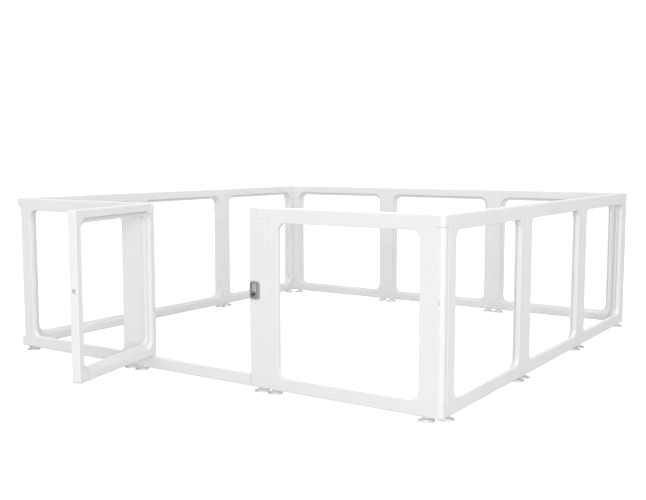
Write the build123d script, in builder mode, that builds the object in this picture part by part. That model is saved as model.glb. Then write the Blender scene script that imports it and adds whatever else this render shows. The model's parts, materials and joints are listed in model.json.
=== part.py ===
"""A square pet playpen of clear-windowed panels, with corner posts and a swinging door.

Millimetres, +Z up. +X runs along the front wall and +Y from the front to the back. The
origin is on the floor at the centre of the whole footprint, with the door standing open.

Each wall is drawn in its own plane: x runs along the wall from left to right as seen from
outside, y runs inward from the outer face, and z rises from the underside of the frames.
"""
import os
from math import cos, radians, sin

from build123d import *

os.makedirs("parts", exist_ok=True)

# ---------------------------------------------------------------- driving dimensions

PANEL_L = 624.0      # one panel, end to end
PANEL_H = 610.0      # one panel, bottom to top
THICK = 31.0         # every frame, post and the door
PER_SIDE = 3         # panels in each wall
FOOT_H = 14.0        # height of the suction cups under the frames
EDGE_R = 4.0         # rounding along the top and bottom edges
SEAM = 1.0           # bevel where two mouldings meet
GAP = 0.5            # play at the ends of a straight joint's cap

# Window of a plain panel: the opening in the outer face, and the wider rebate behind it.
STILE_W = 51.0
TOP_RAIL_W = 49.0
BOTTOM_RAIL_W = 46.5
WINDOW_R = 28.0
LEDGE_W = 13.0
REBATE_DEPTH = 15.5
WINDOW_EDGE_R = 2.5
PANE_T = 3.0
PANE_PLAY = 0.5

# Joining caps: one cap fills a notch in each of the two panel ends that meet.
CAP_H = 36.0
CAP_LONG = 36.0      # its reach over the panel on its left
CAP_SHORT = 12.0     # its reach over the panel on its right
DOWEL_R = 3.0
DOWEL_LEN = 26.0
DOWEL_PLAY = 0.05

# Corner posts. The rod alone joins the corner beside the door, so that the pen closes there.
CORNER_PLAY = 0.1    # at the ends of a corner cap
ROD_R = 6.0
ROD_HEAD_R = 9.0
ROD_HEAD_H = 3.0
POST_PLAY = 0.1      # between a post and the square that its caps cover
POST_SHORT = 0.8     # gap under the upper cap
GROOVE_X = 1.5       # from the post's axis, along the wall
GROOVE_W = 2.0
GROOVE_SPANS = ((57.0, 342.0), (395.0, 520.0))
CATCH_Z = 351.0
CATCH_W = 5.0
CATCH_H = 10.0
CATCH_DEPTH = 4.0
CATCH_SINK = 1.0     # of its face, inside the post's skin
CATCH_GAP = 0.6

# Suction cups.
CUP_R = 26.0
CUP_LIP = 2.0
CUP_RING = 3.5       # flat ring that seals on the floor
CUP_HOLLOW = 4.0
CUP_NECK_R = 7.0
CUP_PLUG_R = 4.0
CUP_PLUG_LEN = 11.0
CUP_HOLE_DEPTH = 12.0
CUP_FROM_END = 28.0

# Door surround, inside the middle panel of the front wall.
HINGE_POST_W = 64.0
LATCH_POST_W = 68.0
SILL_H = 45.0
SIDE_EDGE_R = 3.0
TENON_W = 20.0
TENON_H = 26.0
TENON_LEN = 12.0
SILL_SCREW_R = 2.0
SILL_SCREW_LEN = 24.0
SILL_SCREW_DEPTH = 26.0
SILL_SCREW_HEAD_R = 4.0

# Door. It turns on two pins, one in the lug of the hinge post and one in the sill.
DOOR_GAP = 2.0
DOOR_Z = 50.0        # underside of the door
DOOR_OPEN = 76.0     # degrees from closed, as stored
DOOR_CORNER_R = 8.0
DOOR_HINGE_STILE_W = 45.0
DOOR_FREE_STILE_W = 43.0
DOOR_TOP_RAIL_W = 44.0
DOOR_BOTTOM_RAIL_W = 43.0
DOOR_HINGE_LEDGE_W = 10.0
DOOR_LEDGE_W = 17.5
DOOR_REBATE_R = 34.0
PIN_R = 4.0
PIN_PLAY = 0.05
PIN_DEPTH = 26.0
PIN_HEAD_R = 8.0
PIN_HEAD_H = 2.0
LUG_PLAY = 1.0
LUG_SWING = 3.0      # room beside the lug as the door turns round it
WASHER_R = 12.0
WASHER_PLAY = 0.2

# Latch, let into the post beside the door. Its x places run from the post's joint end.
LATCH_X = -45.5
LATCH_Z = 332.0
PLATE_W = 39.0
PLATE_H = 60.0
PLATE_R = 9.0
PLATE_PROUD = 5.0
BODY_DEPTH = 10.0
BODY_INSET = 3.0
GASKET_T = 2.0       # of the plate's height above the post
GASKET_PROUD = 0.6
RECESS_INSET = 4.0
RECESS_R = 5.0
RECESS_DEPTH = 8.0   # of its floor, inside the post's outer face
BOLT_Z = 350.0
BOLT_W = 10.0
BOLT_H = 12.0
BOLT_LEN = 36.0
BOLT_TRAVEL = 6.0
BOLT_PLAY = 0.3
BOLT_SETBACK = 0.5
BOLT_NOSE = 3.0
STEM_W = 8.0
STEM_SOCKET = 4.0
SLIDER_X = -46.0
SLIDER_Z = 341.5
SLIDER_W = 17.0
SLIDER_H = 29.0
SLIDER_PROUD = 2.0
GRIP_W = 7.0         # rib that the thumb pushes, at the slider's left
GRIP_H = 26.0
GRIP_PROUD = 2.0
GROOVE_BESIDE_GRIP = 4.5
RIDGES = 6
RIDGE_R = 0.6
BUTTON_X = -54.5
BUTTON_Z = 317.0
BUTTON_R = 4.5
BUTTON_PROUD = 4.0
BUTTON_TRAVEL = 2.5
BUTTON_FLANGE_R = 5.6
BUTTON_FLANGE_T = 1.5
SPRING_R = 3.6
SPRING_WIRE_R = 0.4
SPRING_TURNS = 4
SPRING_BORE_R = 6.5
SPRING_SEAT = 22.0   # depth of the spring's far end
BACKPLATE_T = 3.0
SCREW_R = 1.5
SCREW_HEAD_R = 3.0
SCREW_PLACES = ((-33.0, 309.0), (-58.5, 333.0))
STRIKE_H = 18.0
STRIKE_W = 15.0
STRIKE_DEPTH = 15.0
STRIKE_WALL = 1.5

# ---------------------------------------------------------------- derived places

INNER = PER_SIDE * PANEL_L
OUTER = INNER + 2 * THICK
CUP_OVERHANG = CUP_R - THICK / 2
HINGE_X = HINGE_POST_W + DOOR_GAP + THICK / 2
DOOR_FREE_X = PANEL_L - LATCH_POST_W - DOOR_GAP
DOOR_REACH = DOOR_FREE_X - HINGE_X           # hinge axis to the door's free edge
CAP_Z = PANEL_H - CAP_H

# How far the open door stands in front of its hinge axis.
DOOR_FRONT = (
    (DOOR_REACH - SIDE_EDGE_R) * sin(radians(DOOR_OPEN))
    + (THICK / 2 - SIDE_EDGE_R) * cos(radians(DOOR_OPEN))
    + SIDE_EDGE_R
)
FRONT_Y = -(OUTER + CUP_OVERHANG + THICK / 2 - DOOR_FRONT) / 2
BACK_Y = FRONT_Y + OUTER

WALLS = {
    "front": Plane((-INNER / 2, FRONT_Y, FOOT_H), x_dir=(1, 0, 0), z_dir=(0, 0, 1)),
    "right": Plane((OUTER / 2, FRONT_Y + THICK, FOOT_H), x_dir=(0, 1, 0), z_dir=(0, 0, 1)),
    "back": Plane((INNER / 2, BACK_Y, FOOT_H), x_dir=(-1, 0, 0), z_dir=(0, 0, 1)),
    "left": Plane((-OUTER / 2, BACK_Y - THICK, FOOT_H), x_dir=(0, -1, 0), z_dir=(0, 0, 1)),
}
PLAIN_PANELS = [
    (wall, index)
    for wall in WALLS
    for index in range(PER_SIDE)
    if (wall, index) != ("front", 1)
]
JOINTS = [PANEL_L * index for index in range(1, PER_SIDE)]
DOOR_PANEL = Plane(
    (-INNER / 2 + PANEL_L, FRONT_Y, FOOT_H), x_dir=(1, 0, 0), z_dir=(0, 0, 1)
)
LATCH = Plane(
    (-INNER / 2 + 2 * PANEL_L, FRONT_Y, FOOT_H), x_dir=(1, 0, 0), z_dir=(0, 0, 1)
)
DOOR = Plane(
    (-INNER / 2 + PANEL_L + HINGE_X, FRONT_Y + THICK / 2, FOOT_H),
    x_dir=(cos(radians(DOOR_OPEN)), -sin(radians(DOOR_OPEN)), 0),
    z_dir=(0, 0, 1),
)
LOW = (Align.CENTER, Align.CENTER, Align.MIN)
HIGH = (Align.CENTER, Align.CENTER, Align.MAX)


def save(piece, name):
    """Label a finished piece and write it as a STEP file."""
    piece.label = name
    export_step(piece, f"parts/{name}.step")


def face(depth):
    """The plane parallel to a wall's outer face, this far inside it, facing out."""
    return Plane.XZ.offset(-depth)


# ---------------------------------------------------------------- panels

def cut_left_end():
    """Cut a panel's left end for its caps, their dowels and a suction cup."""
    with Locations((0, THICK / 2, 0), (0, THICK / 2, PANEL_H - CAP_H)):
        Box(2 * CAP_SHORT, THICK, CAP_H, align=LOW, mode=Mode.SUBTRACT)
    with Locations((CAP_SHORT / 2, THICK / 2, CAP_H)):
        Cylinder(DOWEL_R + DOWEL_PLAY, DOWEL_LEN + SEAM, align=LOW, mode=Mode.SUBTRACT)
    with Locations((CAP_SHORT / 2, THICK / 2, CAP_Z)):
        Cylinder(DOWEL_R + DOWEL_PLAY, DOWEL_LEN + SEAM, align=HIGH, mode=Mode.SUBTRACT)
    with Locations((CUP_FROM_END, THICK / 2, 0)):
        Cylinder(CUP_PLUG_R, CUP_HOLE_DEPTH, align=LOW, mode=Mode.SUBTRACT)


def cut_right_end():
    """Cut a panel's right end for its caps and their dowels."""
    with Locations((PANEL_L, THICK / 2, 0), (PANEL_L, THICK / 2, PANEL_H - CAP_H)):
        Box(2 * CAP_LONG, THICK, CAP_H, align=LOW, mode=Mode.SUBTRACT)
    with Locations((PANEL_L - CAP_LONG / 2, THICK / 2, CAP_H)):
        Cylinder(DOWEL_R + DOWEL_PLAY, DOWEL_LEN + SEAM, align=LOW, mode=Mode.SUBTRACT)
    with Locations((PANEL_L - CAP_LONG / 2, THICK / 2, CAP_Z)):
        Cylinder(DOWEL_R + DOWEL_PLAY, DOWEL_LEN + SEAM, align=HIGH, mode=Mode.SUBTRACT)


def make_panel_frame():
    """A one-piece moulded frame with a rounded window and a rebate for the pane."""
    window_l = PANEL_L - 2 * STILE_W
    window_h = PANEL_H - TOP_RAIL_W - BOTTOM_RAIL_W
    centre = (PANEL_L / 2, BOTTOM_RAIL_W + window_h / 2)
    with BuildPart() as frame:
        with BuildSketch(face(0)):
            Rectangle(PANEL_L, PANEL_H, align=(Align.MIN, Align.MIN))
        extrude(amount=-THICK)
        fillet(frame.edges().filter_by(Axis.X), EDGE_R)
        chamfer(frame.edges().filter_by(Axis.Z), SEAM)
        with BuildSketch(face(0)):
            with Locations(centre):
                RectangleRounded(window_l, window_h, WINDOW_R)
        extrude(amount=-THICK, mode=Mode.SUBTRACT)
        fillet(frame.faces().sort_by(Axis.Y)[0].inner_wires()[0].edges(), WINDOW_EDGE_R)
        with BuildSketch(face(THICK)):
            with Locations(centre):
                RectangleRounded(
                    window_l + 2 * LEDGE_W, window_h + 2 * LEDGE_W, WINDOW_R + LEDGE_W
                )
        extrude(amount=REBATE_DEPTH, mode=Mode.SUBTRACT)
        cut_left_end()
        cut_right_end()
    return frame.part


def make_panel_pane():
    """A clear sheet that lies on the ledge of the rebate."""
    window_l = PANEL_L - 2 * STILE_W
    window_h = PANEL_H - TOP_RAIL_W - BOTTOM_RAIL_W
    grow = 2 * (LEDGE_W - PANE_PLAY)
    with BuildPart() as pane:
        with BuildSketch(face(THICK - REBATE_DEPTH)):
            with Locations((PANEL_L / 2, BOTTOM_RAIL_W + window_h / 2)):
                RectangleRounded(
                    window_l + grow, window_h + grow, WINDOW_R + LEDGE_W - PANE_PLAY
                )
        extrude(amount=-PANE_T)
    return pane.part


frame_moulding = make_panel_frame()
pane_sheet = make_panel_pane()
for wall, index in PLAIN_PANELS:
    with BuildPart(WALLS[wall]) as panel_frame:
        with Locations((PANEL_L * index, 0, 0)):
            add(frame_moulding)
    save(panel_frame.part, f"{wall}_panel_{index + 1}_frame")
    with BuildPart(WALLS[wall]) as panel_pane:
        with Locations((PANEL_L * index, 0, 0)):
            add(pane_sheet)
    save(panel_pane.part, f"{wall}_panel_{index + 1}_pane")


# ---------------------------------------------------------------- joining caps

def make_joint_cap():
    """The cap over a straight joint, standing on z = 0, with a dowel into each panel."""
    with BuildPart() as cap:
        with BuildSketch(face(0)):
            with Locations((GAP - CAP_LONG, 0)):
                Rectangle(
                    CAP_LONG + CAP_SHORT - 2 * GAP, CAP_H, align=(Align.MIN, Align.MIN)
                )
        extrude(amount=-THICK)
        chamfer(cap.faces().sort_by(Axis.Z)[0].edges(), SEAM)
        fillet(cap.edges().filter_by(Axis.X).group_by(Axis.Z)[-1], EDGE_R)
        with Locations((-CAP_LONG / 2, THICK / 2, 0), (CAP_SHORT / 2, THICK / 2, 0)):
            Cylinder(DOWEL_R, DOWEL_LEN, align=HIGH)
    return cap.part


def make_corner_cap():
    """The cap of a corner post, standing on z = 0, with a tongue over each wall."""
    end_x = CORNER_PLAY - CAP_LONG
    end_y = THICK + CAP_SHORT - CORNER_PLAY
    with BuildPart() as cap:
        with BuildSketch():
            with BuildLine():
                RadiusArc((THICK / 2, 0), (THICK, THICK / 2), -THICK / 2)
                Polyline(
                    (THICK, THICK / 2),
                    (THICK, end_y),
                    (0, end_y),
                    (0, THICK),
                    (end_x, THICK),
                    (end_x, 0),
                    (THICK / 2, 0),
                )
            make_face()
        extrude(amount=CAP_H)
        rim = cap.faces().sort_by(Axis.Z)[-1].edges()
        tongue_ends = rim.sort_by(Axis.X)[:1] + rim.sort_by(Axis.Y)[-1:]
        fillet(rim - tongue_ends, EDGE_R)
        with Locations((-CAP_LONG / 2, THICK / 2, 0), (THICK / 2, THICK + CAP_SHORT / 2, 0)):
            Cylinder(DOWEL_R, DOWEL_LEN, align=HIGH)
        with Locations((THICK / 2, THICK / 2, 0)):
            Cylinder(ROD_R + DOWEL_PLAY, CAP_H, align=LOW, mode=Mode.SUBTRACT)
    return cap.part


def make_lower_cap(upper_cap):
    """The same cap turned over for the bottom, with a hole for a suction cup."""
    with BuildPart() as cap:
        mirror(upper_cap, about=Plane.XY)
        with Locations((-CUP_FROM_END, THICK / 2, -CAP_H)):
            Cylinder(CUP_PLUG_R, CUP_HOLE_DEPTH, align=LOW, mode=Mode.SUBTRACT)
    return cap.part


def place_all(shape, places, name):
    """Write one node that holds a copy of the shape at each (plane, point)."""
    with BuildPart() as group:
        for plane, point in places:
            with Locations(plane.location * Location(point)):
                add(shape)
    save(group.part, name)


def straight_joints(height):
    return [(plane, (x, 0, height)) for plane in WALLS.values() for x in JOINTS]


def corners(height, inset=0.0):
    return [(plane, (INNER + inset, inset, height)) for plane in WALLS.values()]


def posted_corners():
    """The axes of the corners with a full post: all but the one beside the door."""
    walls = [plane for wall, plane in WALLS.items() if wall != "left"]
    return [(plane, (INNER + THICK / 2, THICK / 2, 0)) for plane in walls]


joint_cap = make_joint_cap()
corner_cap = make_corner_cap()
place_all(joint_cap, straight_joints(CAP_Z), "joint_caps_top")
place_all(make_lower_cap(joint_cap), straight_joints(CAP_H), "joint_caps_bottom")
place_all(corner_cap, corners(CAP_Z), "corner_caps_top")
place_all(make_lower_cap(corner_cap), corners(CAP_H), "corner_caps_bottom")


# ---------------------------------------------------------------- corner posts

def make_corner_post():
    """The post between a corner's two caps: flush with one wall, round towards the other."""
    post_r = THICK / 2 - POST_PLAY
    with BuildPart() as post:
        with BuildSketch(Plane.XY.offset(CAP_H)):
            Circle(post_r)
            Rectangle(post_r, 2 * post_r, align=(Align.MAX, Align.CENTER))
            Circle(ROD_R + DOWEL_PLAY, mode=Mode.SUBTRACT)
        extrude(amount=PANEL_H - 2 * CAP_H - POST_SHORT)
        for low, high in GROOVE_SPANS:
            with BuildSketch(Plane.XY.offset(low)):
                with Locations((GROOVE_X, -post_r)):
                    Rectangle(GROOVE_W, GROOVE_W, rotation=45)
            extrude(amount=high - low, mode=Mode.SUBTRACT)
        with Locations((GROOVE_X - CATCH_W / 2, -post_r, CATCH_Z)):
            Box(
                CATCH_W + 2 * CATCH_GAP,
                2 * (CATCH_DEPTH + CATCH_SINK),
                CATCH_H + 2 * CATCH_GAP,
                mode=Mode.SUBTRACT,
            )
    return post.part


def make_corner_rod():
    """The rod that is pushed down through a corner, with a domed head on top."""
    with BuildPart() as rod:
        with BuildSketch(Plane.XY.offset(SEAM)):
            Circle(ROD_R)
        extrude(amount=PANEL_H - SEAM)
        with BuildSketch(Plane.XY.offset(PANEL_H)):
            Circle(ROD_HEAD_R)
        extrude(amount=ROD_HEAD_H)
        fillet(rod.faces().sort_by(Axis.Z)[-1].edges(), ROD_HEAD_H - SEAM)
        chamfer(rod.faces().sort_by(Axis.Z)[0].edges(), SEAM)
    return rod.part


def make_corner_catch():
    """The small moulded catch that fills a post's pocket, its face a little sunk."""
    with BuildPart() as catch:
        with Locations((GROOVE_X - CATCH_W / 2, CATCH_SINK + POST_PLAY - THICK / 2, CATCH_Z)):
            Box(
                CATCH_W,
                CATCH_DEPTH,
                CATCH_H,
                align=(Align.CENTER, Align.MIN, Align.CENTER),
            )
        chamfer(catch.faces().sort_by(Axis.Y)[0].edges(), SEAM)
    return catch.part


place_all(make_corner_rod(), corners(0, THICK / 2), "corner_rods")
place_all(make_corner_post(), posted_corners(), "corner_posts")
place_all(make_corner_catch(), posted_corners(), "corner_catches")


# ---------------------------------------------------------------- suction cups

def make_suction_cup():
    """A soft cup that stands on its rim, with a plug that presses up into a frame."""
    with BuildPart() as cup:
        with BuildSketch(Plane.XZ):
            with BuildLine():
                underside = Polyline(
                    (0, CUP_HOLLOW), (CUP_R - CUP_RING, 0), (CUP_R, 0), (CUP_R, CUP_LIP)
                )
                bell = Spline(
                    underside @ 1,
                    (CUP_R * 0.62, FOOT_H * 0.5),
                    (CUP_NECK_R, FOOT_H),
                    tangents=((-1, 0.15), (-0.2, 1)),
                )
                Polyline(
                    bell @ 1,
                    (CUP_PLUG_R, FOOT_H),
                    (CUP_PLUG_R, FOOT_H + CUP_PLUG_LEN),
                    (0, FOOT_H + CUP_PLUG_LEN),
                    (0, CUP_HOLLOW),
                )
            make_face()
        revolve(axis=Axis.Z)
    return cup.part


cup_places = [
    (plane, (PANEL_L * index + along, THICK / 2, -FOOT_H))
    for plane in WALLS.values()
    for index in range(PER_SIDE)
    for along in (CUP_FROM_END, PANEL_L - CUP_FROM_END)
]
place_all(make_suction_cup(), cup_places, "suction_cups")


# ---------------------------------------------------------------- door surround

def cut_lying_bore(x, z, radius, near, far):
    """Cut a round hole along y, from one depth to another."""
    with Locations(Plane((x, near, z), z_dir=(0, 1, 0))):
        Cylinder(radius, far - near, align=LOW, mode=Mode.SUBTRACT)


def make_hinge_post():
    """The post at the panel's left, with the upper hinge lug reaching over the door."""
    with BuildPart() as post:
        with BuildSketch(face(0)):
            Rectangle(HINGE_POST_W, PANEL_H, align=(Align.MIN, Align.MIN))
        extrude(amount=-THICK)
        with BuildSketch(Plane.XY.offset(CAP_Z)):
            with Locations((HINGE_X, THICK / 2)):
                Circle(THICK / 2)
                Rectangle(HINGE_X, THICK, align=(Align.MAX, Align.CENTER))
        extrude(amount=CAP_H)
        door_side = post.edges().filter_by(Axis.Z)
        fillet(
            door_side.filter_by_position(Axis.X, HINGE_POST_W - 1, HINGE_POST_W + 1),
            SIDE_EDGE_R,
        )
        rim = post.faces().sort_by(Axis.Z)[-1].edges()
        fillet(rim - rim.sort_by(Axis.X)[:1], EDGE_R)
        fillet(post.edges().filter_by(Axis.X).group_by(Axis.Z)[0], EDGE_R)
        with Locations((HINGE_X, THICK / 2, CAP_Z)):
            Cylinder(PIN_R, CAP_H, align=LOW, mode=Mode.SUBTRACT)
        with Locations((HINGE_POST_W, THICK / 2, SILL_H / 2)):
            Box(2 * TENON_LEN, TENON_W, TENON_H, mode=Mode.SUBTRACT)
        cut_sill_screw(HINGE_POST_W - TENON_LEN / 2)
        cut_left_end()
    return post.part


def cut_sill_screw(x):
    """Cut the hole and the head's recess for a screw up through a sill tenon."""
    with Locations((x, THICK / 2, 0)):
        Cylinder(SILL_SCREW_R, SILL_SCREW_DEPTH, align=LOW, mode=Mode.SUBTRACT)
        Cylinder(SILL_SCREW_HEAD_R, SILL_SCREW_HEAD_R, align=LOW, mode=Mode.SUBTRACT)


def make_latch_post():
    """The post at the panel's right, let out for the latch."""
    with BuildPart() as post:
        with BuildSketch(face(0)):
            with Locations((PANEL_L, 0)):
                Rectangle(LATCH_POST_W, PANEL_H, align=(Align.MAX, Align.MIN))
        extrude(amount=-THICK)
        fillet(post.edges().filter_by(Axis.X), EDGE_R)
        fillet(post.faces().sort_by(Axis.X)[0].edges().filter_by(Axis.Z), SIDE_EDGE_R)
        chamfer(post.faces().sort_by(Axis.X)[-1].edges().filter_by(Axis.Z), SEAM)
        with Locations((PANEL_L - LATCH_POST_W, THICK / 2, SILL_H / 2)):
            Box(2 * TENON_LEN, TENON_W, TENON_H, mode=Mode.SUBTRACT)
        cut_sill_screw(PANEL_L - LATCH_POST_W + TENON_LEN / 2)
        with BuildSketch(face(0)):
            with Locations((PANEL_L + LATCH_X, LATCH_Z)):
                latch_outline(BODY_INSET)
        extrude(amount=-BODY_DEPTH, mode=Mode.SUBTRACT)
        with BuildSketch(face(THICK)):
            with Locations((PANEL_L + LATCH_X, LATCH_Z)):
                latch_outline(0)
        extrude(amount=BACKPLATE_T, mode=Mode.SUBTRACT)
        with Locations((PANEL_L - LATCH_POST_W, THICK / 2, BOLT_Z)):
            Box(
                2 * (BOLT_LEN + SEAM),
                BOLT_W + 2 * BOLT_PLAY,
                BOLT_H + 2 * BOLT_PLAY,
                mode=Mode.SUBTRACT,
            )
        with Locations((PANEL_L + SLIDER_X - BOLT_TRAVEL / 2, BODY_DEPTH, BOLT_Z)):
            Box(
                STEM_W + BOLT_TRAVEL + 2 * SEAM,
                THICK - 2 * BODY_DEPTH,
                STEM_W + 2 * BOLT_PLAY,
                mode=Mode.SUBTRACT,
            )
        cut_lying_bore(
            PANEL_L + BUTTON_X, BUTTON_Z, SPRING_BORE_R, BODY_DEPTH, SPRING_SEAT
        )
        for x, z in SCREW_PLACES:
            cut_lying_bore(PANEL_L + x, z, SCREW_R, BODY_DEPTH, THICK)
        cut_right_end()
    return post.part


def latch_outline(inset, mode=Mode.ADD):
    """The latch's rounded outline, drawn this far inside its edge."""
    RectangleRounded(PLATE_W - 2 * inset, PLATE_H - 2 * inset, PLATE_R - inset, mode=mode)


def make_door_sill():
    """The rail under the door, with a tenon into each post and the lower pin's hole."""
    sill_l = PANEL_L - HINGE_POST_W - LATCH_POST_W
    with BuildPart() as sill:
        with BuildSketch(face(0)):
            with Locations((HINGE_POST_W, 0)):
                Rectangle(sill_l, SILL_H, align=(Align.MIN, Align.MIN))
        extrude(amount=-THICK)
        fillet(sill.edges().filter_by(Axis.X), EDGE_R)
        with Locations((HINGE_POST_W + sill_l / 2, THICK / 2, SILL_H / 2)):
            Box(sill_l + 2 * TENON_LEN, TENON_W, TENON_H)
        with Locations((HINGE_X, THICK / 2, SILL_H)):
            Cylinder(PIN_R, PIN_DEPTH, align=HIGH, mode=Mode.SUBTRACT)
        for x in (HINGE_POST_W - TENON_LEN / 2, PANEL_L - LATCH_POST_W + TENON_LEN / 2):
            with Locations((x, THICK / 2, 0)):
                Cylinder(SILL_SCREW_R, SILL_SCREW_DEPTH, align=LOW, mode=Mode.SUBTRACT)
    return sill.part


def make_sill_screw():
    """A screw with a conical head, standing point up."""
    with BuildPart() as screw:
        Cylinder(SILL_SCREW_R, SILL_SCREW_LEN, align=LOW)
        Cylinder(SILL_SCREW_HEAD_R, SILL_SCREW_HEAD_R - SEAM, align=LOW)
        chamfer(screw.faces().sort_by(Axis.Z)[-1].edges(), SEAM)
    return screw.part


place_all(make_hinge_post(), [(DOOR_PANEL, (0, 0, 0))], "hinge_post")
place_all(make_latch_post(), [(DOOR_PANEL, (0, 0, 0))], "latch_post")
place_all(make_door_sill(), [(DOOR_PANEL, (0, 0, 0))], "door_sill")
sill_screw_places = [
    (DOOR_PANEL, (x, THICK / 2, SEAM))
    for x in (HINGE_POST_W - TENON_LEN / 2, PANEL_L - LATCH_POST_W + TENON_LEN / 2)
]
place_all(make_sill_screw(), sill_screw_places, "sill_screws")


# ---------------------------------------------------------------- door

def make_door_frame():
    """The door's moulded frame; x runs from the hinge axis and y from mid thickness."""
    window_l = DOOR_REACH + THICK / 2 - DOOR_HINGE_STILE_W - DOOR_FREE_STILE_W
    window_h = PANEL_H - DOOR_Z - DOOR_TOP_RAIL_W - DOOR_BOTTOM_RAIL_W
    window_x = DOOR_HINGE_STILE_W - THICK / 2
    window_z = DOOR_Z + DOOR_BOTTOM_RAIL_W
    with BuildPart() as frame:
        with BuildSketch(Plane.XY.offset(DOOR_Z)):
            Circle(THICK / 2)
            Rectangle(DOOR_REACH, THICK, align=(Align.MIN, Align.CENTER))
        extrude(amount=PANEL_H - DOOR_Z)
        free_edge = frame.faces().sort_by(Axis.X)[-1]
        fillet(free_edge.edges().filter_by(Axis.Y), DOOR_CORNER_R)
        rims = frame.faces().filter_by(Axis.Y).edges()
        fillet(rims.filter_by_position(Axis.X, SEAM, DOOR_REACH), SIDE_EDGE_R)
        with BuildSketch(face(-THICK / 2)):
            with Locations((window_x + window_l / 2, window_z + window_h / 2)):
                RectangleRounded(window_l, window_h, WINDOW_R)
        extrude(amount=-THICK, mode=Mode.SUBTRACT)
        fillet(frame.faces().sort_by(Axis.Y)[0].inner_wires()[0].edges(), WINDOW_EDGE_R)
        with BuildSketch(face(THICK / 2)):
            door_rebate(window_x, window_z, window_l, window_h, 0)
        extrude(amount=REBATE_DEPTH, mode=Mode.SUBTRACT)
        with Locations((0, 0, CAP_Z - LUG_PLAY)):
            Box(
                THICK + 2 * LUG_SWING,
                THICK,
                CAP_H + LUG_PLAY,
                align=LOW,
                mode=Mode.SUBTRACT,
            )
            Cylinder(PIN_R + PIN_PLAY, PIN_DEPTH, align=HIGH, mode=Mode.SUBTRACT)
        with Locations((0, 0, DOOR_Z)):
            Cylinder(PIN_R + PIN_PLAY, PIN_DEPTH, align=LOW, mode=Mode.SUBTRACT)
        with Locations((DOOR_REACH, 0, BOLT_Z)):
            Box(2 * STRIKE_DEPTH, STRIKE_W, STRIKE_H, mode=Mode.SUBTRACT)
    return frame.part


def door_rebate(window_x, window_z, window_l, window_h, inset):
    """The outline behind the door's window, drawn this far inside its edge."""
    with Locations((window_x - DOOR_HINGE_LEDGE_W + inset, window_z - DOOR_LEDGE_W + inset)):
        RectangleRounded(
            window_l + DOOR_HINGE_LEDGE_W + DOOR_LEDGE_W - 2 * inset,
            window_h + 2 * DOOR_LEDGE_W - 2 * inset,
            DOOR_REBATE_R - inset,
            align=(Align.MIN, Align.MIN),
        )


def make_door_pane():
    """The clear sheet in the door."""
    window_l = DOOR_REACH + THICK / 2 - DOOR_HINGE_STILE_W - DOOR_FREE_STILE_W
    window_h = PANEL_H - DOOR_Z - DOOR_TOP_RAIL_W - DOOR_BOTTOM_RAIL_W
    with BuildPart() as pane:
        with BuildSketch(face(THICK / 2 - REBATE_DEPTH)):
            door_rebate(
                DOOR_HINGE_STILE_W - THICK / 2,
                DOOR_Z + DOOR_BOTTOM_RAIL_W,
                window_l,
                window_h,
                PANE_PLAY,
            )
        extrude(amount=-PANE_T)
    return pane.part


def make_door_strike():
    """The lined pocket in the door's free edge that takes the bolt."""
    with BuildPart() as strike:
        with Locations((DOOR_REACH, 0, BOLT_Z)):
            Box(STRIKE_DEPTH, STRIKE_W, STRIKE_H, align=(Align.MAX, Align.CENTER, Align.CENTER))
            Box(
                2 * (STRIKE_DEPTH - STRIKE_WALL),
                STRIKE_W - 2 * STRIKE_WALL,
                STRIKE_H - 2 * STRIKE_WALL,
                mode=Mode.SUBTRACT,
            )
        mouth = strike.faces().sort_by(Axis.X)[-1].inner_wires()[0].edges()
        chamfer(mouth, SEAM)
    return strike.part


place_all(make_door_frame(), [(DOOR, (0, 0, 0))], "door_frame")
place_all(make_door_pane(), [(DOOR, (0, 0, 0))], "door_pane")
place_all(make_door_strike(), [(DOOR, (0, 0, 0))], "door_strike")


# ---------------------------------------------------------------- hinge

def make_hinge_pin_top():
    """The headed pin pushed down through the lug into the door."""
    with BuildPart() as pin:
        with Locations((0, 0, PANEL_H)):
            Cylinder(PIN_R, CAP_H + LUG_PLAY + PIN_DEPTH - SEAM, align=HIGH)
            Cylinder(PIN_HEAD_R, PIN_HEAD_H, align=LOW)
        fillet(pin.faces().sort_by(Axis.Z)[-1].edges(), SEAM)
        chamfer(pin.faces().sort_by(Axis.Z)[0].edges(), SEAM)
    return pin.part


def make_hinge_pin_bottom():
    """The plain pin that stands up from the sill into the door."""
    with BuildPart() as pin:
        with Locations((0, 0, SILL_H - PIN_DEPTH)):
            Cylinder(PIN_R, DOOR_Z - SILL_H + 2 * PIN_DEPTH - SEAM, align=LOW)
        chamfer(pin.faces().sort_by(Axis.Z)[-1].edges(), SEAM)
    return pin.part


def make_hinge_washer():
    """The washer that carries the door on the sill."""
    with BuildPart() as washer:
        with BuildSketch(Plane.XY.offset(SILL_H)):
            Circle(WASHER_R)
            Circle(PIN_R, mode=Mode.SUBTRACT)
        extrude(amount=DOOR_Z - SILL_H - WASHER_PLAY)
    return washer.part


hinge_place = [(DOOR_PANEL, (HINGE_X, THICK / 2, 0))]
place_all(make_hinge_pin_top(), hinge_place, "hinge_pin_top")
place_all(make_hinge_pin_bottom(), hinge_place, "hinge_pin_bottom")
place_all(make_hinge_washer(), hinge_place, "hinge_washer")


# ---------------------------------------------------------------- latch

def make_latch_gasket():
    """The dark rubber ring between the latch's plate and the post."""
    with BuildPart() as gasket:
        with BuildSketch(face(-GASKET_T)):
            with Locations((LATCH_X, LATCH_Z)):
                latch_outline(-GASKET_PROUD)
                latch_outline(BODY_INSET, Mode.SUBTRACT)
        extrude(amount=-GASKET_T)
    return gasket.part


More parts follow.
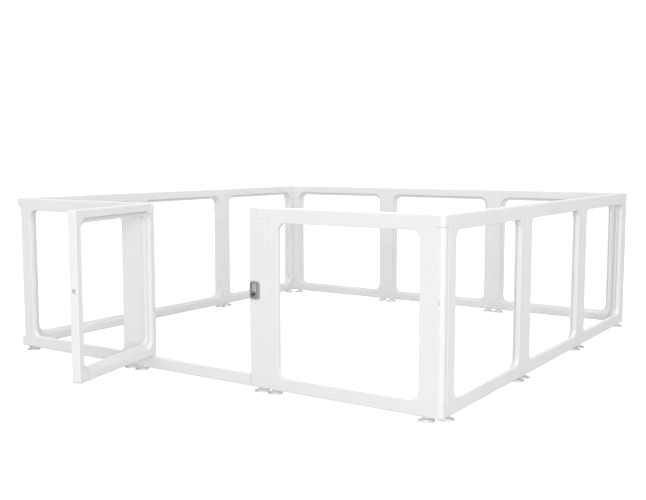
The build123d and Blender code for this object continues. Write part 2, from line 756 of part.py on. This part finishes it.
def make_latch_housing():
    """The grey cup of the latch: a rounded plate with a recess, let into the post."""
    with BuildPart() as housing:
        with BuildSketch(face(-PLATE_PROUD)):
            with Locations((LATCH_X, LATCH_Z)):
                latch_outline(0)
        extrude(amount=GASKET_T - PLATE_PROUD)
        fillet(housing.faces().sort_by(Axis.Y)[0].edges(), 2 * SEAM)
        with BuildSketch(face(-GASKET_T)):
            with Locations((LATCH_X, LATCH_Z)):
                latch_outline(BODY_INSET)
        extrude(amount=-GASKET_T - BODY_DEPTH)
        with BuildSketch(face(-PLATE_PROUD)):
            with Locations((LATCH_X, LATCH_Z)):
                latch_outline(RECESS_INSET)
        extrude(amount=-PLATE_PROUD - RECESS_DEPTH, mode=Mode.SUBTRACT)
        with Locations((SLIDER_X - BOLT_TRAVEL / 2, BODY_DEPTH, BOLT_Z)):
            Box(
                STEM_W + BOLT_TRAVEL + 2 * BOLT_PLAY,
                BODY_DEPTH,
                STEM_W + 2 * BOLT_PLAY,
                mode=Mode.SUBTRACT,
            )
        cut_lying_bore(BUTTON_X, BUTTON_Z, BUTTON_R + PIN_PLAY, 0, BODY_DEPTH)
        for x, z in SCREW_PLACES:
            cut_lying_bore(x, z, SCREW_R, RECESS_DEPTH + SEAM / 2, BODY_DEPTH)
    return housing.part


def make_latch_backplate():
    """The plate on the inner side that the two long screws pull against."""
    with BuildPart() as backplate:
        with BuildSketch(face(THICK)):
            with Locations((LATCH_X, LATCH_Z)):
                latch_outline(0)
        extrude(amount=BACKPLATE_T)
        for x, z in SCREW_PLACES:
            cut_lying_bore(x, z, SCREW_R, THICK - BACKPLATE_T, THICK)
            cut_lying_bore(x, z, SCREW_HEAD_R, THICK - BACKPLATE_T / 2, THICK)
    return backplate.part


def make_latch_screw():
    """A long screw that lies along y, its head at the inner side."""
    with BuildPart() as screw:
        with Locations(Plane((0, THICK, 0), z_dir=(0, -1, 0))):
            Cylinder(SCREW_HEAD_R, BACKPLATE_T / 2, align=LOW)
            Cylinder(SCREW_R, THICK - RECESS_DEPTH - SEAM, align=LOW)
        with Locations((0, THICK, 0)):
            Box(2 * SCREW_HEAD_R, SEAM, SEAM / 2, mode=Mode.SUBTRACT)
    return screw.part


def make_latch_bolt():
    """The square bolt, with a bevelled nose and the stem that carries the slider."""
    with BuildPart() as bolt:
        with Locations((BOLT_SETBACK - LATCH_POST_W, THICK / 2, BOLT_Z)):
            Box(BOLT_LEN, BOLT_W, BOLT_H, align=(Align.MIN, Align.CENTER, Align.CENTER))
        nose = bolt.faces().sort_by(Axis.X)[0].edges().sort_by(Axis.Y)[-1]
        chamfer(nose, BOLT_NOSE)
        stem_end = RECESS_DEPTH - BOLT_PLAY - STEM_SOCKET
        with Locations((SLIDER_X, THICK / 2, BOLT_Z)):
            Box(STEM_W, THICK / 2 - stem_end, STEM_W, align=(Align.CENTER, Align.MAX, Align.CENTER))
    return bolt.part


def make_latch_slider():
    """The thumb piece, pressed on to the bolt's stem, with a ridged grip along one side."""
    grip_x = SLIDER_X - (SLIDER_W - GRIP_W) / 2
    groove_x = SLIDER_X - SLIDER_W / 2 + GRIP_W + GROOVE_BESIDE_GRIP / 2
    grip_y = -SLIDER_PROUD - GRIP_PROUD
    with BuildPart() as slider:
        with BuildSketch(face(-SLIDER_PROUD)):
            with Locations((SLIDER_X, SLIDER_Z)):
                RectangleRounded(SLIDER_W, SLIDER_H, 2 * SEAM)
        extrude(amount=-SLIDER_PROUD - RECESS_DEPTH + BOLT_PLAY)
        fillet(slider.faces().sort_by(Axis.Y)[0].edges(), SEAM / 2)
        with BuildSketch(face(grip_y)):
            with Locations((grip_x, SLIDER_Z)):
                RectangleRounded(GRIP_W - SEAM, GRIP_H, 2 * SEAM)
        extrude(amount=-GRIP_PROUD)
        fillet(slider.faces().sort_by(Axis.Y)[0].edges(), SEAM / 2)
        with Locations((grip_x, grip_y, SLIDER_Z)):
            with Locations(Rotation(0, 90, 0)):
                with GridLocations(GRIP_H / (RIDGES + 1), 0, RIDGES, 1):
                    Cylinder(RIDGE_R, GRIP_W - 4 * SEAM)
        with BuildSketch(face(-SLIDER_PROUD)):
            with Locations((groove_x, SLIDER_Z)):
                RectangleRounded(GROOVE_BESIDE_GRIP - SEAM, GRIP_H, SEAM)
        extrude(amount=-SLIDER_PROUD, mode=Mode.SUBTRACT)
        with Locations((SLIDER_X, RECESS_DEPTH - BOLT_PLAY, BOLT_Z)):
            Box(STEM_W, 2 * STEM_SOCKET, STEM_W, mode=Mode.SUBTRACT)
    return slider.part


def make_latch_button():
    """The round release button, held behind the recess floor by its flange."""
    flange_y = BODY_DEPTH + BOLT_PLAY
    with BuildPart() as button:
        with Locations(Plane((BUTTON_X, -BUTTON_PROUD, BUTTON_Z), z_dir=(0, 1, 0))):
            Cylinder(BUTTON_R, BUTTON_PROUD + flange_y, align=LOW)
        fillet(button.faces().sort_by(Axis.Y)[0].edges(), SEAM)
        with Locations(Plane((BUTTON_X, flange_y, BUTTON_Z), z_dir=(0, 1, 0))):
            Cylinder(BUTTON_FLANGE_R, BUTTON_FLANGE_T, align=LOW)
    return button.part


def make_button_spring():
    """The coil spring behind the button, its ends just clear of both seats."""
    near = BODY_DEPTH + BOLT_PLAY + BUTTON_FLANGE_T + SPRING_WIRE_R
    length = SPRING_SEAT - SPRING_WIRE_R - near
    with BuildPart() as spring:
        with BuildLine():
            coil = Helix(
                length / SPRING_TURNS,
                length,
                SPRING_R - SPRING_WIRE_R,
                center=(BUTTON_X, near, BUTTON_Z),
                direction=(0, 1, 0),
            )
        with BuildSketch(Plane(coil @ 0, z_dir=coil % 0)):
            Circle(SPRING_WIRE_R)
        sweep()
    return spring.part


latch_place = [(LATCH, (0, 0, 0))]
place_all(make_latch_gasket(), latch_place, "latch_gasket")
place_all(make_latch_housing(), latch_place, "latch_housing")
place_all(make_latch_backplate(), latch_place, "latch_backplate")
latch_screw_places = [(LATCH, (x, 0, z)) for x, z in SCREW_PLACES]
place_all(make_latch_screw(), latch_screw_places, "latch_screws")
place_all(make_latch_bolt(), latch_place, "latch_bolt")
place_all(make_latch_slider(), latch_place, "latch_slider")
place_all(make_latch_button(), latch_place, "latch_button")
place_all(make_button_spring(), latch_place, "latch_button_spring")
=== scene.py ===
"""Looks for the pet playpen: its materials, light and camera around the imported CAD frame."""

import json
import math

import bmesh
import bpy
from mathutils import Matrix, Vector


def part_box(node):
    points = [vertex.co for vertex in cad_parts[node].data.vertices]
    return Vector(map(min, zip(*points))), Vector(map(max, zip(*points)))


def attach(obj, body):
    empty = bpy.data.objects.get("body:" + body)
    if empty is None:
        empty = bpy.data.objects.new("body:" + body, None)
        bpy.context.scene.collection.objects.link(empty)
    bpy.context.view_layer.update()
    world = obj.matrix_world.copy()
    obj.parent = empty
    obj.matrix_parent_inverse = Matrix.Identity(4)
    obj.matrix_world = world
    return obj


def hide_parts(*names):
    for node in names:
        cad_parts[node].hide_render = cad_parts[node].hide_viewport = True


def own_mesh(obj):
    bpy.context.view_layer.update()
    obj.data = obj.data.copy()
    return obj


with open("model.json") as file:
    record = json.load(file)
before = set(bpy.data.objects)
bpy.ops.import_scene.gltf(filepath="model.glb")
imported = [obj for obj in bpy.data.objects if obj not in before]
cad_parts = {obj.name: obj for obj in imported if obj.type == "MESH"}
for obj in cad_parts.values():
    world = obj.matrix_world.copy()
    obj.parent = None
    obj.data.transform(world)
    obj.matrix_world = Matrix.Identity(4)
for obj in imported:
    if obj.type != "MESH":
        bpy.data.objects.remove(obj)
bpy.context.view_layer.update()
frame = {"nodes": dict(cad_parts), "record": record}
MM = 0.001


def add_object(name, data):
    """A new object with this mesh, light or camera, in the scene."""
    added = bpy.data.objects.new(name, data)
    bpy.context.scene.collection.objects.link(added)
    return added


# ---------------------------------------------------------------- materials

class Nodes:
    """A small helper that adds nodes to a material and links them."""

    def __init__(self, name):
        self.material = bpy.data.materials.new(name)
        self.material.use_nodes = True
        self.tree = self.material.node_tree
        self.tree.nodes.clear()
        self.coords = self.add("TexCoord").outputs["Object"]

    def add(self, kind, inputs=None, **settings):
        node = self.tree.nodes.new("ShaderNode" + kind)
        for key, value in settings.items():
            setattr(node, key, value)
        for key, value in (inputs or {}).items():
            if isinstance(value, bpy.types.NodeSocket):
                self.tree.links.new(value, node.inputs[key])
            else:
                node.inputs[key].default_value = value
        return node

    def noise(self, scale, detail=2.0, stretch=(1, 1, 1)):
        """Noise of about this many blotches a metre."""
        place = self.add("Mapping", {"Vector": self.coords, "Scale": stretch})
        vector = place.outputs["Vector"]
        node = self.add("TexNoise", {"Vector": vector, "Scale": scale, "Detail": detail})
        return node.outputs["Fac"]

    def ramp(self, value, low, high, start=0.3, end=0.7):
        """Map a value from start..end to low..high, as numbers or as colours."""
        if isinstance(low, (int, float)):
            node = self.add("MapRange", {
                "Value": value, "From Min": start, "From Max": end,
                "To Min": low, "To Max": high,
            })
            return node.outputs["Result"]
        node = self.add("ValToRGB", {"Fac": value})
        node.color_ramp.elements[0].position = start
        node.color_ramp.elements[0].color = (*low, 1)
        node.color_ramp.elements[1].position = end
        node.color_ramp.elements[1].color = (*high, 1)
        return node.outputs["Color"]

    def bump(self, height, distance, strength=1.0, normal=None):
        inputs = {"Height": height, "Distance": distance, "Strength": strength}
        if normal is not None:
            inputs["Normal"] = normal
        return self.add("Bump", inputs).outputs["Normal"]

    def surface(self, socket):
        output = self.add("OutputMaterial")
        self.tree.links.new(socket, output.inputs["Surface"])
        return self.material


def moulded_plastic(name, low, high, roughness, grain=0.02):
    """Injection-moulded plastic: a faint sheen, fine grain (in mm) and slow sink in the faces."""
    m = Nodes(name)
    fine = m.noise(1800, 3)
    slow = m.noise(9, 2)
    normal = m.bump(slow, 1.2 * MM, 0.25)
    normal = m.bump(fine, grain * MM, 0.6, normal)
    shader = m.add("BsdfPrincipled", {
        "Base Color": m.ramp(m.noise(6, 4), low, high),
        "Roughness": m.ramp(m.noise(40, 4), roughness - 0.04, roughness + 0.05),
        "Normal": normal,
        "Specular IOR Level": 0.45,
    })
    return m.surface(shader.outputs["BSDF"])


def clear_sheet(name, tint, gloss_low, gloss_high):
    """Clear plastic sheet: see-through, with a reflection that grows at a low angle."""
    m = Nodes(name)
    glance = m.add("LayerWeight", {"Blend": 0.25}).outputs["Fresnel"]
    shader = m.add("BsdfPrincipled", {
        "Base Color": (1, 1, 1, 1),
        "Roughness": m.ramp(m.noise(3, 3), 0.03, 0.06),
        "Normal": m.bump(m.noise(2.5, 1), 1.5 * MM, 0.1),
        "IOR": 1.49,
    })
    clear = m.add("BsdfTransparent", {"Color": (*tint, 1)})
    mix = m.add("MixShader", {"Fac": m.ramp(glance, gloss_low, gloss_high, 0.0, 1.0)})
    m.tree.links.new(clear.outputs["BSDF"], mix.inputs[1])
    m.tree.links.new(shader.outputs["BSDF"], mix.inputs[2])
    return m.surface(mix.outputs["Shader"])


def brushed_metal(name):
    """Plain steel with fine scratches along it."""
    m = Nodes(name)
    scratches = m.noise(500, 3, (1, 1, 12))
    shader = m.add("BsdfPrincipled", {
        "Base Color": m.ramp(scratches, (0.50, 0.51, 0.52), (0.68, 0.69, 0.70)),
        "Metallic": 1.0,
        "Roughness": m.ramp(scratches, 0.25, 0.45),
        "Normal": m.bump(scratches, 0.02 * MM, 0.5),
    })
    return m.surface(shader.outputs["BSDF"])


def soft_clear_vinyl(name):
    """Soft clear vinyl: clear where it is seen flat on, darker where the sight line is long."""
    m = Nodes(name)
    facing = m.add("LayerWeight", {"Blend": 0.5}).outputs["Facing"]
    clear = m.add("BsdfTransparent", {
        "Color": m.ramp(facing, (0.94, 0.945, 0.945), (0.08, 0.083, 0.083), 0.55, 0.95),
    })
    shader = m.add("BsdfPrincipled", {
        "Base Color": (0.85, 0.87, 0.87, 1),
        "Roughness": m.ramp(m.noise(60, 3), 0.10, 0.20),
        "Normal": m.bump(m.noise(45, 2), 0.4 * MM, 0.3),
    })
    mix = m.add("MixShader", {"Fac": m.ramp(facing, 0.05, 0.20, 0.0, 1.0)})
    m.tree.links.new(clear.outputs["BSDF"], mix.inputs[1])
    m.tree.links.new(shader.outputs["BSDF"], mix.inputs[2])
    return m.surface(mix.outputs["Shader"])


WHITE = moulded_plastic("white_plastic", (0.78, 0.78, 0.777), (0.81, 0.81, 0.807), 0.38)
CLEAR = clear_sheet("clear_acrylic", (0.998, 0.999, 0.999), 0.0, 0.10)
CUP = soft_clear_vinyl("clear_pvc")
GREY = moulded_plastic("grey_plastic", (0.36, 0.36, 0.352), (0.41, 0.41, 0.402), 0.36, 0.05)
PALE = moulded_plastic("pale_grey_plastic", (0.44, 0.44, 0.43), (0.48, 0.48, 0.47), 0.36, 0.05)
# Dark plastic for the latch button, and painted shade for the latch gasket.
DARK_AND_SHADE = moulded_plastic("dark_plastic_and_painted_shade", (0.05, 0.05, 0.052), (0.08, 0.08, 0.082), 0.35, 0.05)
STEEL = brushed_metal("steel")

SLOT_MATERIALS = {
    "white_plastic": WHITE,
    "clear_acrylic": CLEAR,
    "clear_pvc": CUP,
    "grey_plastic": GREY,
    "steel": STEEL,
}
for part in frame["record"]["subparts"]:
    node = frame["nodes"][part["node"]]
    node.data.materials.clear()
    node.data.materials.append(SLOT_MATERIALS[part["material_slot"]])
for node_name, material in {
    "latch_button": DARK_AND_SHADE,
    # The gasket is painted shade: a dark ring that stands for the shadow along the latch plate's
    # edge.
    "latch_gasket": DARK_AND_SHADE,
    "latch_slider": PALE,
}.items():
    frame["nodes"][node_name].data.materials[0] = material


# ---------------------------------------------------------------- window panes

PANE_INSET = 0.35 * MM   # how far the sheet stands clear of the CAD pane's faces
PANE_EASE = 0.5 * MM     # the round on its rim
MERGE_GAP = 0.01 * MM    # points this close are one
FLAT_ANGLE = math.radians(1)    # faces within this angle are one face
RIM_ANGLE = math.radians(60)    # edges sharper than this belong to the rim


def window_pane(node_name, body):
    """A clear sheet a hair smaller than the CAD pane, clear of its ledge, with an eased rim."""
    sheet = bmesh.new()
    sheet.from_mesh(frame["nodes"][node_name].data)
    bmesh.ops.remove_doubles(sheet, verts=sheet.verts, dist=MERGE_GAP)
    bmesh.ops.dissolve_limit(
        sheet, angle_limit=FLAT_ANGLE, verts=sheet.verts, edges=sheet.edges
    )
    bmesh.ops.recalc_face_normals(sheet, faces=sheet.faces)
    sheet.normal_update()
    places = [v.co - v.normal * PANE_INSET * v.calc_shell_factor() for v in sheet.verts]
    for vert, place in zip(sheet.verts, places):
        vert.co = place
    rim = [e for e in sheet.edges if e.calc_face_angle(0) > RIM_ANGLE]
    bmesh.ops.bevel(sheet, geom=rim, offset=PANE_EASE, segments=2, profile=0.5, affect="EDGES")
    mesh = bpy.data.meshes.new(node_name + "_sheet")
    sheet.to_mesh(mesh)
    sheet.free()
    mesh.materials.append(CLEAR)
    piece = add_object(node_name + "_sheet", mesh)
    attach(piece, body)
    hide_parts(node_name)


for part in frame["record"]["subparts"]:
    node_name = part["node"]
    if node_name.endswith("_pane"):
        window_pane(node_name, "door" if node_name == "door_pane" else "pen")


# ---------------------------------------------------------------- button spring

SPRING_TURNS = 4
STEPS_A_TURN = 24
WIRE_R = 0.4 * MM
WIRE_SIDES = 10
FULL_TURN = 2 * math.pi


def button_spring():
    """The coil spring behind the latch button, which closes up as the button goes in; here it is
    one fixed coil.
    """
    low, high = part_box("latch_button_spring")
    centre = (low + high) / 2
    coil_r = (high.x - low.x) / 2 - WIRE_R
    start, end = low.y + WIRE_R, high.y - WIRE_R
    steps = SPRING_TURNS * STEPS_A_TURN
    pitch_slope = (end - start) / (FULL_TURN * SPRING_TURNS * coil_r)
    coil = bmesh.new()
    rings = []
    for step in range(steps + 1):
        angle = FULL_TURN * step / STEPS_A_TURN
        outward = Vector((math.cos(angle), 0, math.sin(angle)))
        along = Vector((-math.sin(angle), pitch_slope, math.cos(angle))).normalized()
        across = along.cross(outward)
        place = Vector((centre.x, start + (end - start) * step / steps, centre.z))
        place += outward * coil_r
        rings.append([
            coil.verts.new(place + WIRE_R * (math.cos(turn) * outward + math.sin(turn) * across))
            for turn in (FULL_TURN * side / WIRE_SIDES for side in range(WIRE_SIDES))
        ])
    for ring, following in zip(rings, rings[1:]):
        for side in range(WIRE_SIDES):
            other = (side + 1) % WIRE_SIDES
            coil.faces.new((ring[side], ring[other], following[other], following[side]))
    coil.faces.new(rings[0])
    coil.faces.new(rings[-1])
    bmesh.ops.recalc_face_normals(coil, faces=coil.faces)
    for face in coil.faces:
        face.smooth = len(face.verts) == 4
    mesh = bpy.data.meshes.new("latch_button_coil")
    coil.to_mesh(mesh)
    coil.free()
    mesh.materials.append(STEEL)
    piece = add_object("latch_button_coil", mesh)
    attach(piece, "pen")
    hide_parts("latch_button_spring")
    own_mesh(piece)


button_spring()


# ---------------------------------------------------------------- floor, light, camera

def lit_or_seen(tree, lit, seen):
    """A strength for stage surfaces: one value where they light the pen, one where they show."""
    ray = tree.nodes.new("ShaderNodeLightPath")
    strength = tree.nodes.new("ShaderNodeMapRange")
    strength.inputs["To Min"].default_value = lit
    strength.inputs["To Max"].default_value = seen
    tree.links.new(ray.outputs["Is Camera Ray"], strength.inputs["Value"])
    return strength.outputs["Result"]


def floor_material():
    """A white studio floor that takes only faint shadows."""
    m = Nodes("floor")
    matt = m.add("BsdfDiffuse", {
        "Color": m.ramp(m.noise(2, 3), (0.48, 0.48, 0.48), (0.50, 0.50, 0.50)),
    })
    glow = m.add("Emission", {
        "Color": (1, 1, 1, 1),
        "Strength": lit_or_seen(m.tree, 0.0, FLOOR_GLOW),
    })
    both = m.add("AddShader")
    m.tree.links.new(matt.outputs["BSDF"], both.inputs[0])
    m.tree.links.new(glow.outputs["Emission"], both.inputs[1])
    return m.surface(both.outputs["Shader"])


def area_light(name, place, target, size, watts):
    """A square light of this size at a place, turned towards its target, in metres."""
    data = bpy.data.lights.new(name, "AREA")
    data.energy = watts
    data.size = size
    light = add_object(name, data)
    light.location = place
    aim = Vector(target) - Vector(place)
    light.rotation_euler = aim.to_track_quat("-Z", "Y").to_euler()


FLOOR_HALF = 40.0
FLOOR_GLOW = 0.85
FLOOR_CORNERS = [(-1, -1), (1, -1), (1, 1), (-1, 1)]
floor_mesh = bpy.data.meshes.new("floor")
floor_points = [(x * FLOOR_HALF, y * FLOOR_HALF, 0) for x, y in FLOOR_CORNERS]
floor_mesh.from_pydata(floor_points, [], [(0, 1, 2, 3)])
floor_mesh.materials.append(floor_material())
add_object("floor", floor_mesh)

SKY_SEEN = 1.1
SKY_LIGHT = 0.90
world = bpy.data.worlds.new("studio")
world.use_nodes = True
sky = world.node_tree.nodes["Background"]
sky.inputs["Color"].default_value = (1, 1, 1, 1)
world.node_tree.links.new(
    lit_or_seen(world.node_tree, SKY_LIGHT, SKY_SEEN), sky.inputs["Strength"]
)
bpy.context.scene.world = world

area_light("key", (7.9, -9.9, 2.5), (0, 0, 0.4), 5.0, 690)
area_light("overhead", (0.4, -0.6, 4.0), (0, 0, 0), 5.0, 20)
area_light("fill", (-5.0, 7.5, 2.5), (0, 0, 0.3), 4.0, 260)

# The camera stands in front of the pen and to its right, at about the height of a table.
PEN_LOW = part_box("front_panel_1_frame")[0]
PEN_CENTRE_Y = (PEN_LOW.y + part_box("back_panel_1_frame")[1].y) / 2
CAMERA_FROM_CENTRE = Vector((2.1033, -3.3015, 0.7768))
CAMERA_TILT = 5.956
CAMERA_TURN = 33.769
LENS = 49.64
SENSOR_WIDTH = 36.0
FARTHEST_SEEN = 200.0
MOST_FACES_CROSSED = 40   # a sight line crosses many panes, and each has two faces

camera_data = bpy.data.cameras.new("camera")
camera_data.sensor_width = SENSOR_WIDTH
camera_data.lens = LENS
camera_data.clip_end = FARTHEST_SEEN
camera = add_object("camera", camera_data)
camera.location = Vector((0, PEN_CENTRE_Y, PEN_LOW.z)) + CAMERA_FROM_CENTRE
camera.rotation_euler = (math.radians(90 - CAMERA_TILT), 0, math.radians(CAMERA_TURN))
bpy.context.scene.camera = camera
bpy.context.scene.view_settings.view_transform = "Standard"
bpy.context.scene.cycles.transparent_max_bounces = MOST_FACES_CROSSED
